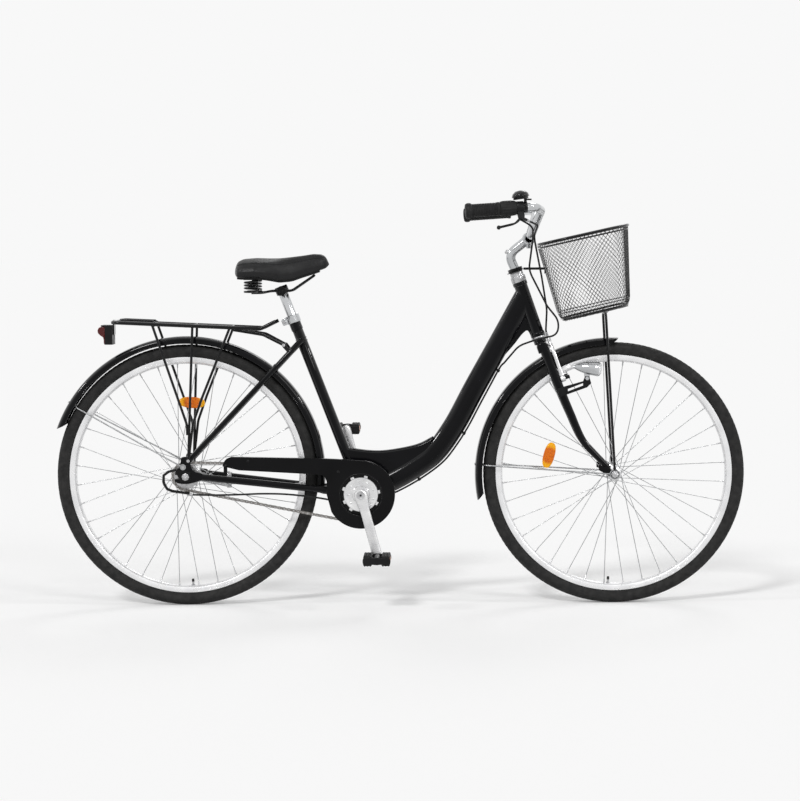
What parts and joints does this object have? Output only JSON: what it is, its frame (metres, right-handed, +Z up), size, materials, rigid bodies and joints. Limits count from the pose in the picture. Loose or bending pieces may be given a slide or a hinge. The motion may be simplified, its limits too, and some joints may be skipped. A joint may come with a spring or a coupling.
{
  "type": "step through bike",
  "caption": "Step-through city bicycle with swept-back handlebar, front wire basket, mudguards, rear carrier, chain case, sprung saddle and pedals that drive the rear sprocket by chain.",
  "frame": {"origin": "on the ground, midway between the two wheel hubs, in the bike's middle plane", "axes": "+X forward, +Y to the rider's left, +Z up; the drive side faces -Y"},
  "size_m": [1.844, 0.637, 1.0999],
  "materials": {
    "frame_paint": "gloss",
    "black_steel": "satin",
    "black_plastic": "matte",
    "chrome": "polished",
    "alloy": "satin",
    "steel": "satin",
    "tyre_rubber": "matte",
    "soft_rubber": "matte",
    "amber_plastic": "gloss",
    "red_plastic": "gloss",
    "clear_plastic": "gloss",
    "saddle_skin": "satin"
  },
  "bodies": {
    "frame": {"frame": "frame_paint", "headset_upper_cup": "steel", "headset_lower_cup": "steel", "bottom_bracket": "steel", "seat_clamp": "chrome", "rear_axle": "steel", "gear_guard": "black_steel", "coaster_arm": "steel", "shift_cable_run": "black_plastic", "chain_case": "black_plastic", "chain": "steel", "rear_mudguard": "frame_paint", "rear_mudguard_stay": "steel", "carrier": "black_steel", "tail_light": "black_plastic", "tail_light_lens": "red_plastic"},
    "seatpost": {"seatpost": "chrome", "saddle_frame": "black_steel", "saddle_base": "black_plastic", "saddle_cover": "saddle_skin", "right_saddle_spring": "steel", "left_saddle_spring": "steel"},
    "carrier_clip": {"carrier_clip": "black_steel"},
    "steering": {"fork": "frame_paint", "stem": "chrome", "handlebar": "chrome", "right_grip": "soft_rubber", "left_grip": "soft_rubber", "lever_bracket": "black_plastic", "bell": "black_steel", "front_mudguard": "frame_paint", "front_mudguard_stay": "steel", "front_axle": "steel", "basket": "black_steel", "basket_struts": "black_steel", "headlight_bracket": "black_steel", "brake_cable": "black_plastic", "shift_cable_loop": "black_plastic"},
    "headlight": {"headlight": "chrome", "headlight_lens": "clear_plastic"},
    "right_brake_arm": {"right_brake_arm": "alloy"},
    "left_brake_arm": {"left_brake_arm": "alloy"},
    "brake_lever": {"brake_lever": "alloy"},
    "twist_shifter": {"twist_shifter": "soft_rubber"},
    "bell_lever": {"bell_lever": "black_steel"},
    "front_wheel": {"front_wheel_hub": "alloy", "front_wheel_rim": "alloy", "front_wheel_tyre": "tyre_rubber", "front_wheel_reflector": "amber_plastic"},
    "rear_wheel": {"rear_wheel_hub": "alloy", "rear_wheel_rim": "alloy", "rear_wheel_tyre": "tyre_rubber", "rear_wheel_reflector": "amber_plastic"},
    "sprocket": {"sprocket": "steel"},
    "crankset": {"crank_spindle": "steel", "chainring": "alloy", "right_crank": "alloy", "left_crank": "alloy"},
    "right_pedal": {"right_pedal": "soft_rubber"},
    "left_pedal": {"left_pedal": "soft_rubber"}
  },
  "joints": [
    {"name": "steering_turn", "type": "hinge", "parent": "frame", "child": "steering", "pos_m": [0.50531, 0, 0.32771], "axis": [-0.3256, 0, 0.9455], "range_deg": [-60, 60], "deforming": ["shift_cable_loop"]},
    {"name": "front_wheel_spin", "type": "hinge", "parent": "steering", "child": "front_wheel", "pos_m": [0.5715, 0, 0.3505], "axis": [0, 1, 0], "continuous": true},
    {"name": "rear_wheel_spin", "type": "hinge", "parent": "frame", "child": "rear_wheel", "pos_m": [-0.5715, 0, 0.3505], "axis": [0, 1, 0], "continuous": true},
    {"name": "crank_spin", "type": "hinge", "parent": "frame", "child": "crankset", "pos_m": [-0.10556, 0, 0.2997], "axis": [0, 1, 0], "continuous": true, "deforming": ["chain"]},
    {"name": "sprocket_spin", "type": "hinge", "parent": "frame", "child": "sprocket", "pos_m": [-0.5715, 0, 0.3505], "axis": [0, 1, 0], "continuous": true},
    {"name": "right_pedal_spin", "type": "hinge", "parent": "crankset", "child": "right_pedal", "pos_m": [-0.06156, -0.1325, 0.13549], "axis": [0, 1, 0], "continuous": true},
    {"name": "left_pedal_spin", "type": "hinge", "parent": "crankset", "child": "left_pedal", "pos_m": [-0.14956, 0.1325, 0.46391], "axis": [0, 1, 0], "continuous": true},
    {"name": "brake_lever_pull", "type": "hinge", "parent": "steering", "child": "brake_lever", "pos_m": [0.31849, -0.29255, 1.03128], "axis": [-0.0977, 0.9031, -0.4181], "range_deg": [0, 16], "stiffness_Nm_per_rad": 1.2, "springref_deg": -20.05},
    {"name": "right_brake_arm_close", "type": "hinge", "parent": "steering", "child": "right_brake_arm", "pos_m": [0.4122, -0.041, 0.59813], "axis": [-0.9455, 0, -0.3256], "range_deg": [0, 2.4]},
    {"name": "left_brake_arm_close", "type": "hinge", "parent": "steering", "child": "left_brake_arm", "pos_m": [0.4122, 0.041, 0.59813], "axis": [0.9455, 0, 0.3256], "range_deg": [0, 2.4]},
    {"name": "shifter_twist", "type": "hinge", "parent": "steering", "child": "twist_shifter", "pos_m": [0.28385, -0.28586, 1.05383], "axis": [-0.9891, -0.1347, -0.0602], "range_deg": [0, 80]},
    {"name": "bell_lever_push", "type": "hinge", "parent": "steering", "child": "bell_lever", "pos_m": [0.33295, -0.26982, 1.07679], "axis": [0, 0, 1], "range_deg": [0, 25], "stiffness_Nm_per_rad": 0.05, "springref_deg": -11.46},
    {"name": "headlight_tilt", "type": "hinge", "parent": "steering", "child": "headlight", "pos_m": [0.498, -0.06, 0.607], "axis": [0, 1, 0], "range_deg": [-10, 10]},
    {"name": "carrier_clip_lift", "type": "hinge", "parent": "frame", "child": "carrier_clip", "pos_m": [-0.657, 0, 0.75689], "axis": [0, 1, 0], "range_deg": [0, 60], "stiffness_Nm_per_rad": 0.4, "springref_deg": -28.65},
    {"name": "seatpost_slide", "type": "slide", "parent": "frame", "child": "seatpost", "axis": [-0.3584, 0, 0.9336], "range_m": [-0.045, 0.06]}
  ],
  "couplings": [
    {"joint": "sprocket_spin", "follows": "crank_spin", "ratio": 2.1111},
    {"joint": "right_brake_arm_close", "follows": "brake_lever_pull", "ratio": 0.15},
    {"joint": "left_brake_arm_close", "follows": "brake_lever_pull", "ratio": 0.15}
  ]
}
